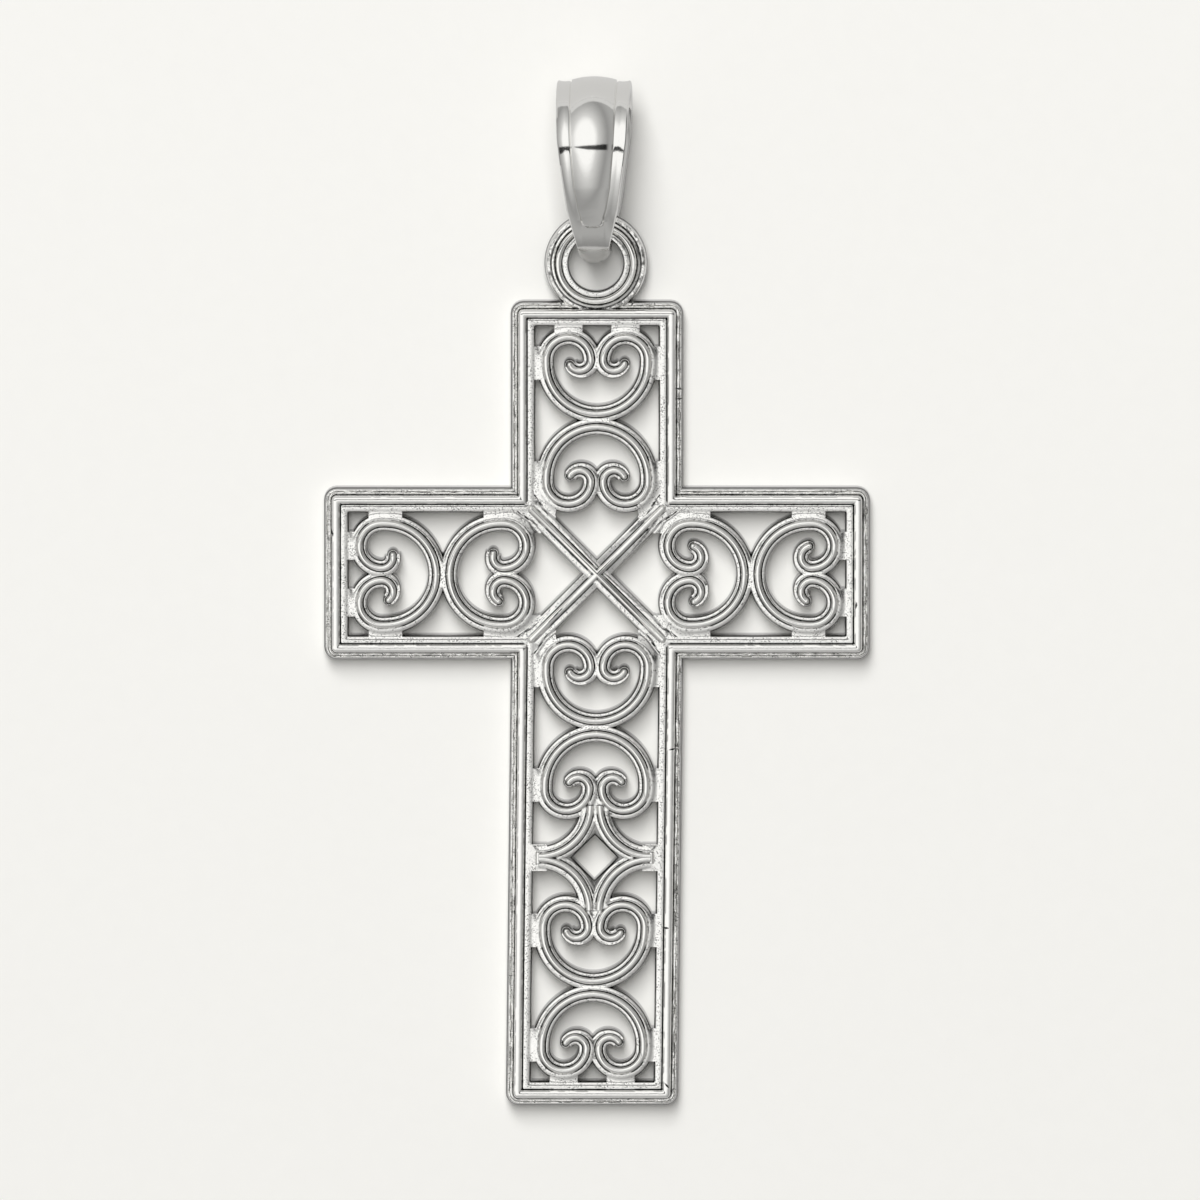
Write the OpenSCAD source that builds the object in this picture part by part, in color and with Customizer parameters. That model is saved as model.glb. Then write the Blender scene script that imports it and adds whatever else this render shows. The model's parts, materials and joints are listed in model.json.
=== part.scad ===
// A small pierced cross charm of white metal: a one-piece casting of scrollwork in a frame,
// with a ring cast on its upper end, and a loose tapered bail that passes through the ring.
// The charm lies on its back: z = 0 is the plane that it rests on, and +Z is its front.

/* [Cross] */
// Width of the upright and of the arms
bar_w = 5.06; // [4.9:0.02:5.2]
// Width of the solid frame round the piercing
frame_w = 0.73; // [0.69:0.01:0.77]
// Radius of the outline's outer corners
corner_r = 0.37; // [0.25:0.01:0.5]
// Distance from the crossing to the nearest scroll's centre
first_scroll = 2.83; // [2.8:0.01:2.86]

/* [Relief] */
// Height of the rough outer rim of the frame
rim_h = 0.86; // [0.8:0.01:0.9]
// Height of the frame's flat field
field_h = 1.0; // [0.95:0.01:1.02]
// Height of the scrolls' flat flanges
flange_h = 0.93; // [0.91:0.01:0.94]
// Height of every raised ridge
ridge_h = 1.13; // [1.08:0.01:1.18]

/* [Scrolls] */
// Radius of a scroll's ridge
scroll_r = 1.49; // [1.47:0.01:1.5]
// Flat flange outside the ridge
flange_out = 0.29; // [0.27:0.01:0.29]
// Flat flange inside the ridge
flange_in = 0.25; // [0.22:0.01:0.27]
// Width of the scroll ridges
ridge_w = 0.2; // [0.16:0.01:0.24]

/* [Ring] */
// Outer radius of the hanging ring
ring_r = 1.51; // [1.45:0.01:1.55]
// Radius of the hole in the ring
ring_hole_r = 0.8; // [0.79:0.01:0.85]
// Height of the ring's centre above the crossing
ring_y = 9.12; // [9.08:0.01:9.16]
// Height of the ring's relieved underside
ring_back = 0.6; // [0.58:0.01:0.62]

/* [Bail] */
// Length of the bail from its tip to its crown
bail_len = 5.36; // [5.2:0.02:5.5]
// Width of the bail at its crown
bail_w = 2.18; // [2:0.02:2.3]
// Thickness of the bail's wall
bail_t = 0.38; // [0.34:0.01:0.4]
// Outer radius of the bail's crown, seen from the side
crown_r = 2.0; // [1.9:0.02:2.1]
// Outer radius of the bail's narrow end, seen from the side
tip_r = 0.85; // [0.83:0.01:0.88]
// How far the front panel stands proud
panel_h = 0.18; // [0.12:0.01:0.2]
// Sideways lean of the resting bail, in degrees
bail_lean = 2.3; // [0:0.1:2.5]

/* [Hidden] */

half_bar = bar_w / 2;
opening = half_bar - frame_w;
pitch = 2 * scroll_r + 0.39;

// A scroll is a large arc that turns into a loop and then a tighter curl on each side
loop_r = 0.44 * scroll_r;
loop_x = scroll_r - loop_r;
loop_up = 0.07 * scroll_r;
curl_r = 0.5 * loop_r;
curl_x = loop_x - loop_r + curl_r;
curl_end = 325;
curl_bead_r = 0.17;
curl_taper = 0.55;
curl_bead = [curl_x + 0.08, loop_up - 0.03];
side_web = [0.4, 0.98];
end_web = [0.82, 0.5];
loop_reach = loop_up + loop_r + flange_out;

// The four-pointed motif in the lower upright
motif_gap = 2.14;
motif_corner = [1.64, 1.54];
motif_flange_r = 1.19;
motif_ridge_r = 1.5;
motif_hole = 0.66;
motif_h = 2.6;

// One of the solid corners between the X over the crossing and the frame
CROSSING_CORNER = [[1.2, 1.66], [1.66, 1.2], [2.0, 1.05], [2.0, 2.0], [1.05, 2.0]];

end_gap = 0.02;
arm_reach = first_scroll + pitch + loop_reach + end_gap + frame_w;
motif_y = -(first_scroll + pitch + motif_gap);
foot_reach = -motif_y + motif_gap + pitch + loop_reach + end_gap + frame_w;
reaches = [arm_reach, arm_reach, arm_reach, foot_reach];

rim_w = 0.215;
bead_w = 0.27;
ring_rim_w = 0.2;
ring_bead_in = 0.2;
spoke_w = 0.64;
spoke_l = 2.78;
core_h = 0.5;

// Distance of each scroll from the crossing, the arm it is in, and whether it opens outwards
SCROLLS = concat(
    [for (arm = [0 : 3]) [first_scroll, arm, false]],
    [for (arm = [0 : 3]) [first_scroll + pitch, arm, true]],
    [[-motif_y + motif_gap, 3, false], [-motif_y + motif_gap + pitch, 3, true]]
);

// The bail's side view, as centres and radii of its four arcs; the long front arc ends at front_slope
front_slope = 40;
front_r = 4.1;
bail_tip = ring_y + 0.08;
crown_y = bail_tip + bail_len - crown_r;
narrow_y = bail_tip + tip_r;
front_z = 2 * crown_r - front_r;
nose_r = (crown_y - bail_tip - front_r * sin(front_slope)) / (1 - sin(front_slope));
nose_y = bail_tip + nose_r;
nose_z = front_z + (front_r - nose_r) * cos(front_slope);

// Half width of the bail and of its panel, in parts of the crown's, at parts of its length
BAIL_TAPER = [[1.1, 1], [0.9, 0.98], [0.7, 0.94], [0.54, 0.84], [0.31, 0.69], [0.2, 0.56], [0.13, 0.47]];
PANEL_TAPER = [[1.1, 0.62], [0.87, 0.58], [0.65, 0.54], [0.43, 0.45], [0.31, 0.34]];

function turned(p, a) = [p.x * cos(a) - p.y * sin(a), p.x * sin(a) + p.y * cos(a)];
function reversed(v) = [for (i = [len(v) - 1 : -1 : 0]) v[i]];
function after_first(v) = [for (i = [1 : len(v) - 1]) v[i]];
function mirrored(v) = [for (p = v) [-p.x, p.y]];
function arc(c, r, from, to, steps) =
    [for (i = [0 : steps]) let (a = from + (to - from) * i / steps) c + r * [cos(a), sin(a)]];

// Outline of the cross, drawn in by inset all round, with its outer corners rounded
function arm_end(reach, half, r) = concat(
    arc([reach - r, r - half], r, -90, 0, 5),
    arc([reach - r, half - r], r, 0, 90, 5),
    [[half, half]]
);
function cross_outline(inset) = [
    for (arm = [0 : 3])
        for (p = arm_end(reaches[arm] - inset, half_bar - inset, max(corner_r - inset, 0.03)))
            turned(p, 90 * arm)
];

// Closes a side that starts and ends on the axis with its own reflection
function both_sides(v) = concat(v, reversed(mirrored([for (i = [1 : len(v) - 2]) v[i]])));

// One side of a scroll's ridge, moved outwards by grow
function ridge_side(grow) = concat(
    arc([0, 0], scroll_r + grow, -90, 0, 8),
    arc([loop_x, loop_up], loop_r + grow, 0, 180, 12),
    after_first(arc([curl_x, loop_up], curl_r + grow, 180, curl_end, 8))
);

module scroll_ridge() {
    outer = ridge_side(ridge_w / 2);
    inner = ridge_side(-ridge_w / 2);
    polygon(concat(
        outer,
        reversed(inner),
        mirrored(after_first(inner)),
        reversed(mirrored(after_first(outer)))
    ));
}

// One side of the flat flange's outer edge, from the foot to the cleft between the loops
function flange_side() =
    let (r = loop_r + flange_out)
    concat(
        arc([0, 0], scroll_r + flange_out, -90, 0, 8),
        arc([loop_x, loop_up], r, 0, acos(-loop_x / r), 12)
    );

// One side of the hole: along the curl, which draws in to its end, then inside the loop and the arc
function curl_edge() =
    let (from = 360 - acos(-curl_x / (curl_r + flange_out)))
    [
        for (i = [0 : 8])
            let (
                part = i / 8,
                a = from + (curl_end - from) * part,
                r = curl_r + flange_out * (1 - curl_taper * part * part)
            )
            [curl_x + r * cos(a), loop_up + r * sin(a)]
    ];
function hole_side() = concat(
    curl_edge(),
    reversed(arc([loop_x, loop_up], loop_r - flange_in, 0, 180, 12)),
    reversed(arc([0, 0], scroll_r - flange_in, -90, 0, 8))
);

// Puts a shape drawn with its opening towards +Y into an arm of the cross
module in_arm(distance, arm, outwards = true) {
    rotate(90 * arm - 90)
        translate([0, distance])
            rotate(outwards ? 0 : 180)
                children();
}

module bar(w, h) {
    square([w, h], center = true);
}

// The flat part of a scroll, with a round bead in each curl and a web to the frame on each side
module scroll_flange() {
    difference() {
        polygon(both_sides(flange_side()));
        polygon(both_sides(hole_side()));
    }
    for (side = [-1, 1]) {
        translate([side * curl_bead.x, curl_bead.y])
            circle(r = curl_bead_r, $fn = 24);
        translate([side * (opening - side_web.x / 4), 0])
            bar(side_web.x, side_web.y);
    }
}

// The webs that join the last scroll in an arm to the end of the frame
module end_webs() {
    for (side = [-1, 1])
        translate([side * loop_x, loop_reach])
            bar(end_web.x, end_web.y);
}

module motif_flange() {
    difference() {
        bar(2 * opening + bead_w, motif_h);
        for (sx = [-1, 1])
            for (sy = [-1, 1])
                translate([sx * motif_corner.x, sy * motif_corner.y])
                    circle(r = motif_flange_r, $fn = 48);
        rotate(45)
            bar(motif_hole * sqrt(2), motif_hole * sqrt(2));
    }
}

module motif_ridge() {
    for (sx = [-1, 1])
        for (sy = [-1, 1])
            mirror_to(sx, sy)
                translate([motif_corner.x, motif_corner.y])
                    polygon(concat(
                        arc([0, 0], motif_ridge_r - ridge_w / 2, 181, 269, 8),
                        arc([0, 0], motif_ridge_r + ridge_w / 2, 269, 181, 8)
                    ));
}

module mirror_to(sx, sy) {
    mirror([sx < 0 ? 1 : 0, 0])
        mirror([0, sy < 0 ? 1 : 0])
            children();
}

// The X over the crossing, and the solid corners where it meets the frame
module spokes(w, l) {
    for (turn = [45, 135])
        rotate(turn)
            bar(2 * l, w);
}

module crossing_corners() {
    for (quarter = [0 : 3])
        rotate(90 * quarter)
            polygon(CROSSING_CORNER);
}

module frame_relief() {
    difference() {
        union() {
            linear_extrude(rim_h)
                polygon(cross_outline(0));
            linear_extrude(field_h)
                polygon(cross_outline(rim_w + bead_w / 2));
        }
        translate([0, 0, -1])
            linear_extrude(4)
                polygon(cross_outline(frame_w));
    }
    translate([0, 0, core_h])
        linear_extrude(ridge_h - core_h)
            difference() {
                polygon(cross_outline(rim_w));
                polygon(cross_outline(rim_w + bead_w));
            }
}

module scrollwork() {
    linear_extrude(flange_h) {
        for (s = SCROLLS)
            in_arm(s[0], s[1], s[2])
                scroll_flange();
        for (s = SCROLLS)
            if (s[2] && s[0] + pitch > reaches[s[1]] - frame_w)
                in_arm(s[0], s[1], s[2])
                    end_webs();
        translate([0, motif_y])
            motif_flange();
        spokes(spoke_w, spoke_l);
        crossing_corners();
    }
    translate([0, 0, core_h])
        linear_extrude(ridge_h - core_h) {
            for (s = SCROLLS)
                in_arm(s[0], s[1], s[2])
                    scroll_ridge();
            translate([0, motif_y])
                motif_ridge();
            spokes(ridge_w, spoke_l);
        }
}

module ring_step(outer, inner, from, to) {
    translate([0, ring_y, from])
        difference() {
            cylinder(r = outer, h = to - from, $fn = 96);
            translate([0, 0, -1])
                cylinder(r = inner, h = 4, $fn = 96);
        }
}

// The hanging ring has the frame's section: a low rough rim, a ridge and a flat inner field
module hanging_ring() {
    ring_step(ring_r, ring_hole_r, ring_back, rim_h);
    ring_step(ring_r - ring_rim_w, ring_hole_r, ring_back, field_h);
    ring_step(ring_r - ring_rim_w - 0.1, ring_hole_r + ring_bead_in, ring_back, ridge_h);
}

module cross_plate() {
    color("gainsboro")
        union() {
            frame_relief();
            scrollwork();
            hanging_ring();
        }
}

// The bail's side view in Y and Z, drawn in by inset
function bail_side(inset) = concat(
    arc([crown_y, crown_r], crown_r - inset, -90, 90, 18),
    after_first(arc([crown_y, front_z], front_r - inset, 90, 90 + front_slope, 8)),
    after_first(arc([nose_y, nose_z], nose_r - inset, 90 + front_slope, 180, 8)),
    arc([narrow_y, tip_r], tip_r - inset, 180, 270, 8)
);

module bail_block(inset) {
    rotate([90, 0, 90])
        linear_extrude(4, center = true)
            polygon(bail_side(inset));
}

// The bail's front view: a table of half widths, closed by a round tip
function taper_outline(rows, tip, r) = concat(
    [for (row = rows) [row[1] * bail_w / 2, bail_tip + row[0] * bail_len]],
    arc([0, bail_tip + tip + r], r, -15, -165, 8),
    reversed([for (row = rows) [-row[1] * bail_w / 2, bail_tip + row[0] * bail_len]])
);

module taper_block(rows, tip, r) {
    linear_extrude(6)
        polygon(taper_outline(rows, tip, r));
}

module bail_shell() {
    intersection() {
        difference() {
            bail_block(0);
            bail_block(bail_t);
        }
        translate([0, 0, -1])
            taper_block(BAIL_TAPER, 0, 0.46);
    }
}

// The panel is proud of the crown and the front, and stops short of the back
module bail_panel() {
    intersection() {
        difference() {
            bail_block(-panel_h);
            bail_block(bail_t / 2);
        }
        translate([0, 0, 1.1])
            taper_block(PANEL_TAPER, 1.12, 0.3);
    }
}

module bail() {
    color("silver")
        translate([0, 0, sin(bail_lean) * bail_w / 2])
            rotate([0, -bail_lean, 0])
                union() {
                    bail_shell();
                    bail_panel();
                }
}

cross_plate();
bail();
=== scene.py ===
# %% [markdown]
# # A pierced cross charm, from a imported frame
# The charm is a small cast cross with scrollwork, a hanging ring and a loose bail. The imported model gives
# its true size and place, and everything below is drawn over it, in the same frame. Blender counts in
# metres, but a jeweller counts in millimetres, so each piece is drawn in millimetres and scaled at the end.

# %% Load the frame
import json
import math
import bmesh
import bpy
from mathutils import Matrix, Vector, noise

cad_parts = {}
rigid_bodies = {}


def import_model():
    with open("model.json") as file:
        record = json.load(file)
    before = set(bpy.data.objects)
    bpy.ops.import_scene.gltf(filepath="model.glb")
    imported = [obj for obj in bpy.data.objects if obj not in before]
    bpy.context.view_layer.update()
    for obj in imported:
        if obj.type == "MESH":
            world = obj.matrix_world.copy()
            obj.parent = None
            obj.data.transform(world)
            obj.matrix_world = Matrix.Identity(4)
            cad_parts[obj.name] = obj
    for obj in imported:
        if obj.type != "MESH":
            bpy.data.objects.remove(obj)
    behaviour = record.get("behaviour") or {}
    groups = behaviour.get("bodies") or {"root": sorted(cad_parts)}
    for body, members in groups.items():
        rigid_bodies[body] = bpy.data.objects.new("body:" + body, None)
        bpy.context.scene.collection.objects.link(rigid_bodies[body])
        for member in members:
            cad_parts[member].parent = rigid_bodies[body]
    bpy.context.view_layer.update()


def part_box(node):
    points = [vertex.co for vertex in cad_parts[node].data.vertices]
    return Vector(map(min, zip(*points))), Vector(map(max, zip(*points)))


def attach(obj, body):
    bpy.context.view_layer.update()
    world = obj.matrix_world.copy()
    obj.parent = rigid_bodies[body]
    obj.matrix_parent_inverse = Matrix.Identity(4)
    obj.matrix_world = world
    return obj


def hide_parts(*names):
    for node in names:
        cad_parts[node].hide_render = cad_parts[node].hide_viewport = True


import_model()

MM = 0.001
plate_low, plate_high = [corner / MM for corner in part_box("cross_plate")]

# %% [markdown]
# ## The photograph's viewpoint
# The charm lies on its back and is seen from above with a long lens. Strips of the walls that face the
# ring show inside the piercing, so the camera leans a few degrees towards the ring. A camera with no turn
# looks straight down with +Y up, so a small turn about X is all that it needs.

# %% Camera
PHOTO_PX = 1200
MM_PER_PX = 0.0293
CROSSING_PX = (597, 574.5)
CAMERA_TILT = math.radians(4.5)
CAMERA_DISTANCE = 1000
SENSOR_MM = 36
CREST_Z = 1.13

right_mm = (PHOTO_PX / 2 - CROSSING_PX[0]) * MM_PER_PX
up_mm = (CROSSING_PX[1] - PHOTO_PX / 2) * MM_PER_PX / math.cos(CAMERA_TILT)
aim = Vector((right_mm, up_mm, CREST_Z))
back = Vector((0, math.sin(CAMERA_TILT), math.cos(CAMERA_TILT)))

camera_data = bpy.data.cameras.new("long_lens")
camera_data.sensor_width = SENSOR_MM
camera_data.lens = SENSOR_MM * CAMERA_DISTANCE / (PHOTO_PX * MM_PER_PX)
camera_data.clip_start = 0.01
camera_data.clip_end = 10
camera = bpy.data.objects.new("camera", camera_data)
camera.location = (aim + back * CAMERA_DISTANCE) * MM
camera.rotation_euler = (-CAMERA_TILT, 0, 0)
bpy.context.collection.objects.link(camera)
bpy.context.scene.camera = camera
print("Camera", round(CAMERA_DISTANCE), "mm away with a lens of", round(camera_data.lens), "mm")

# %% [markdown]
# ## Drawing tools
# Nearly all of the relief is one small section carried along a path: a flat flange, a half-round ridge
# and another flange. The spin operator carries a ring of edges round a centre, so a scroll made of arcs
# is a chain of spins, and a straight bar is one push. These helpers hold the operators' long argument
# lists, and close a tube's end with one face.

# %% Helpers that carry a section
def ring_of_edges(bm, places):
    """A closed ring of vertices and edges through the given places."""
    verts = [bm.verts.new(place) for place in places]
    return [bm.edges.new((a, b)) for a, b in zip(verts, verts[1:] + verts[:1])]


def ends_of(edges):
    return list({v for e in edges for v in e.verts})


def turn(bm, edges, centre, degrees, steps, axis=(0, 0, 1)):
    """Spins a ring of edges about a centre, and returns the last ring."""
    made = bmesh.ops.spin(
        bm, geom=ends_of(edges) + edges, cent=centre, axis=axis, dvec=(0, 0, 0),
        angle=math.radians(degrees), space=Matrix.Identity(4), steps=steps,
        use_merge=False, use_normal_flip=False, use_duplicate=False,
    )
    return [g for g in made["geom_last"] if isinstance(g, bmesh.types.BMEdge)]


def push(bm, edges, along):
    """Extrudes a ring of edges in a straight line, and returns the new ring."""
    made = bmesh.ops.extrude_edge_only(bm, edges=edges)["geom"]
    moved = {g for g in made if isinstance(g, bmesh.types.BMVert)}
    bmesh.ops.translate(bm, vec=along, verts=list(moved))
    return [g for g in made if isinstance(g, bmesh.types.BMEdge) and set(g.verts) <= moved]


def grow_to(bm, edges, old_places, new_places):
    """Extrudes a ring of edges, and moves each new vertex to its place in the next ring."""
    numbers = {tuple(place): i for i, place in enumerate(old_places)}
    made = bmesh.ops.extrude_edge_only(bm, edges=edges)["geom"]
    moved = {g for g in made if isinstance(g, bmesh.types.BMVert)}
    for v in moved:
        v.co = new_places[numbers[tuple(v.co)]]
    return [g for g in made if isinstance(g, bmesh.types.BMEdge) and set(g.verts) <= moved]


def cap(bm, edges):
    bmesh.ops.contextual_create(bm, geom=edges)


# %% Helpers that finish a solid
HAIR = 0.0001
SAME_PLACE = 0.0005
OFF_THE_BACK = 0.01
workbench = bpy.data.collections.new("workbench")
bpy.context.scene.collection.children.link(workbench)


def tidy(bm):
    bmesh.ops.remove_doubles(bm, verts=bm.verts, dist=SAME_PLACE)
    bmesh.ops.recalc_face_normals(bm, faces=bm.faces)


def solid(bm, name, place=Matrix.Identity(4)):
    """Puts a bmesh on the workbench as an object in millimetres, a hair taller than the last."""
    bmesh.ops.transform(bm, matrix=place, verts=bm.verts)
    tidy(bm)
    lift = len(workbench.objects) * HAIR
    for v in bm.verts:
        v.co.z += lift if v.co.z > OFF_THE_BACK else -lift
    mesh = bpy.data.meshes.new(name)
    bm.to_mesh(mesh)
    bm.free()
    made = bpy.data.objects.new(name, mesh)
    workbench.objects.link(made)
    return made


def spun_about(degrees):
    return Matrix.Rotation(math.radians(degrees), 4, "Z")


# %% [markdown]
# ## The section of the relief
# Every ridge is a half-round bead that stands on flat flanges, with a fine groove at its foot and a
# rounded shoulder where the flange ends. The section is a closed outline, u across and z up, so the tube
# that it makes is a solid. u is positive on the outside of a curve.

# %% Section
FLANGE_Z = 1.0
RIDGE_HALF = 0.1
GROOVE_W = 0.03
GROOVE_Z = 0.9
SHOULDER = [(0.062, 0), (0.042, 0.015), (0.027, 0.055), (0.012, 0.12), (0, 0.2)]
CREST_FLATNESS = 0.38


def bead(half, low_z, high_z, steps=10):
    """A bead with a broad crest, from its positive side over the top to its negative side."""
    rise = high_z - low_z
    angles = [math.pi * i / steps for i in range(steps + 1)]
    return [(half * math.cos(a), low_z + rise * max(0, math.sin(a)) ** CREST_FLATNESS) for a in angles]


def shoulder(edge, side):
    """The rounded end of a flange, from the top to the foot, for side 1 or -1."""
    return [(side * (edge - u), FLANGE_Z - z) for u, z in SHOULDER] + [(side * edge, 0)]


def band_section(outside, inside):
    """A ridge between two flanges that reach as far outside and inside as the two numbers say."""
    foot = RIDGE_HALF + GROOVE_W
    middle = [(foot, FLANGE_Z)] + bead(RIDGE_HALF, GROOVE_Z, CREST_Z) + [(-foot, FLANGE_Z)]
    return shoulder(outside, 1)[::-1] + middle + shoulder(inside, -1)


print("A band's section has", len(band_section(0.3, 0.25)), "points")

# %% [markdown]
# ## One scroll
# A scroll is a large arc that turns into a loop and then into a tighter curl, on both sides of an axis.
# Three spins make each side, mirrored for the left one. The two halves overlap a little on the axis. The
# model was carved by hand, so each curl has its own length of turn.

# %% Scroll
SCROLL_R = 1.49
LOOP_R = 0.44 * SCROLL_R
LOOP_X = SCROLL_R - LOOP_R
LOOP_UP = 0.07 * SCROLL_R
CURL_R = 0.5 * LOOP_R
CURL_X = LOOP_X - LOOP_R + CURL_R
FLANGE_OUT = 0.29
FLANGE_IN = 0.25
TAPER_FROM = 45
TAPER_TO = 205
TAPER = 0.5
TAPER_OVER = 100
LARGE_STEPS = 24
LOOP_STEPS = 30
DEGREES_PER_STEP = 8


def draw_in(verts):
    """Narrows the outer flange of a curl towards its end."""
    for v in verts:
        x, y = v.co.x - CURL_X, v.co.y - LOOP_UP
        reach = math.hypot(x, y)
        turned = (math.degrees(math.atan2(y, x)) + 180) % 360
        past = turned - TAPER_FROM
        over = reach - CURL_R - RIDGE_HALF
        if over > 0 and TAPER_FROM < turned < TAPER_TO:
            shrunk = (CURL_R + RIDGE_HALF + over * (1 - TAPER * past / TAPER_OVER)) / reach
            v.co.x = CURL_X + x * shrunk
            v.co.y = LOOP_UP + y * shrunk


def half_scroll(curl, past):
    """The right side of a scroll, from a little past the axis to the end of its curl."""
    bm = bmesh.new()
    section = band_section(FLANGE_OUT, FLANGE_IN)
    start = Vector((-math.sin(math.radians(past)), -math.cos(math.radians(past)), 0))
    edges = ring_of_edges(bm, [start * (SCROLL_R + u) + Vector((0, 0, z)) for u, z in section])
    cap(bm, edges)
    edges = turn(bm, edges, (0, 0, 0), 90 + past, LARGE_STEPS)
    edges = push(bm, edges, (0, LOOP_UP, 0))
    edges = turn(bm, edges, (LOOP_X, LOOP_UP, 0), 180, LOOP_STEPS)
    before = set(bm.verts)
    cap(bm, turn(bm, edges, (CURL_X, LOOP_UP, 0), curl, round(curl / DEGREES_PER_STEP)))
    draw_in([v for v in bm.verts if v not in before])
    return bm


# %% [markdown]
# ## Round buttons
# A curl's ridge and flange both end in a half circle. A round button with the band's own section gives
# that: its profile is drawn from the middle outwards, and spun all the way round. The same helper makes
# the hanging ring later, whose profile just starts further out.

# %% Buttons
ROUND_STEPS = 16
BUTTON = [
    (0, 1.13), (0.045, 1.127), (0.075, 1.1), (0.095, 1.03), (0.1, 0.95), (0.118, 0.95), (0.125, 0.995),
    (0.135, 0.995), (0.15, 0.96), (0.165, 0.9), (0.172, 0.84), (0.172, 0),
]


def turned_solid(profile, steps, closed_on_axis=False):
    """Spins a profile of (radius, height) about +Z into a closed solid."""
    bm = bmesh.new()
    verts = [bm.verts.new((r, 0, z)) for r, z in profile]
    edges = [bm.edges.new(pair) for pair in zip(verts, verts[1:])]
    if not closed_on_axis:
        edges.append(bm.edges.new((verts[-1], verts[0])))
    bmesh.ops.spin(
        bm, geom=verts + edges, cent=(0, 0, 0), axis=(0, 0, 1), dvec=(0, 0, 0),
        angle=math.tau, space=Matrix.Identity(4), steps=steps,
        use_merge=True, use_normal_flip=False, use_duplicate=False,
    )
    bmesh.ops.remove_doubles(bm, verts=bm.verts, dist=SAME_PLACE)
    return bm


def button():
    return turned_solid(BUTTON + [(0, 0)], ROUND_STEPS, closed_on_axis=True)


def curl_tip(side, curl):
    """Where the middle of the ridge ends, after this many degrees of curl."""
    a = math.radians(180 + curl)
    return Vector((side * (CURL_X + CURL_R * math.cos(a)), LOOP_UP + CURL_R * math.sin(a), 0))


# %% Ten scrolls in the four arms
FIRST_SCROLL = 2.83
PITCH = 2 * SCROLL_R + 0.39
MOTIF_GAP = 2.14
motif_y = -(FIRST_SCROLL + PITCH + MOTIF_GAP)
PAST_AXIS = 0.3
RIGHT, UP, LEFT, DOWN = range(4)

# Arm, distance from the crossing, whether it opens outwards, and the turn of its two curls
SCROLLS = [
    (UP, FIRST_SCROLL + PITCH, True, 152, 158),
    (UP, FIRST_SCROLL, False, 154, 150),
    (LEFT, FIRST_SCROLL + PITCH, True, 142, 100),
    (LEFT, FIRST_SCROLL, False, 108, 152),
    (RIGHT, FIRST_SCROLL, False, 158, 164),
    (RIGHT, FIRST_SCROLL + PITCH, True, 166, 150),
    (DOWN, FIRST_SCROLL, False, 150, 154),
    (DOWN, FIRST_SCROLL + PITCH, True, 142, 146),
    (DOWN, MOTIF_GAP - motif_y, False, 156, 148),
    (DOWN, MOTIF_GAP - motif_y + PITCH, True, 144, 150),
]


def in_arm(arm, distance, outwards):
    """The place of a thing in an arm, drawn as if the arm pointed up."""
    faced = spun_about(0 if outwards else 180)
    return spun_about(90 * arm - 90) @ Matrix.Translation((0, distance, 0)) @ faced


casting = []
for number, (arm, distance, outwards, left_curl, right_curl) in enumerate(SCROLLS):
    place = in_arm(arm, distance, outwards)
    for side, curl in ((-1, left_curl), (1, right_curl)):
        half = half_scroll(curl, 1 + side * PAST_AXIS)
        casting.append(solid(half, f"scroll_{number}", place @ Matrix.Diagonal((side, 1, 1, 1))))
        spot = place @ Matrix.Translation(curl_tip(side, curl))
        casting.append(solid(button(), f"curl_bead_{number}", spot))
print(len(SCROLLS), "scrolls, each of", len(casting[0].data.polygons), "faces")

# %% [markdown]
# ## The frame
# The frame is a moulding that runs all round the cross: a rounded edge, a rough filed band, a tall bead
# and a flat field. Each line of the moulding is the cross's outline drawn in by a different amount, with
# its outer corners rounded. Each line is extruded to the next one, and the last back to the first. The
# lines are cut into short steps, so that noise can roughen the outer rim, as casting and filing left it.

# %% Frame
BAR_W = 5.06
FRAME_W = 0.73
CORNER_R = 0.37
half_bar = BAR_W / 2
arm_reach = plate_high.x
foot_reach = -plate_low.y
REACHES = [arm_reach, arm_reach, arm_reach, foot_reach]
STEP = 0.09
LEAST_R = 0.04
WAVES_PER_MM = 5
WAVE_H = 0.018
BUMPS_PER_MM = 14
BUMP_H = 0.009
NOISE_SPREAD = 4

# Each line of the moulding: how far in from the outline, its height, and how rough it is
MOULDING = [
    (0, 0, 0), (0, 0.62, 0.2), (0.008, 0.68, 0.3), (0.022, 0.73, 0.4), (0.042, 0.77, 0.4),
    (0.064, 0.79, 0.4), (0.08, 0.8, 0.5), (0.1, 0.798, 0.8), (0.115, 0.77, 1), (0.13, 0.796, 1),
    (0.165, 0.8, 0.8), (0.192, 0.79, 0.5), (0.205, 0.765, 0.3), (0.218, 0.85, 0.1), (0.226, 0.98, 0.1),
    (0.238, 1.07, 0.1), (0.258, 1.112, 0.1), (0.29, 1.127, 0.1), (0.35, 1.13, 0.1), (0.41, 1.127, 0.1),
    (0.44, 1.112, 0.1), (0.458, 1.07, 0.1), (0.469, 0.99, 0.1), (0.478, 0.94, 0.1), (0.495, 0.945, 0.1),
    (0.505, 0.99, 0), (0.53, 0.995, 0), (0.66, 0.995, 0), (0.685, 0.985, 0), (0.706, 0.95, 0),
    (0.724, 0.895, 0), (FRAME_W, 0.84, 0), (FRAME_W, 0, 0),
]


def corner(centre, r, start, steps=5):
    angles = [math.radians(start + 90 * i / steps) for i in range(steps + 1)]
    return [centre + r * Vector((math.cos(a), math.sin(a))) for a in angles]


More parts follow.
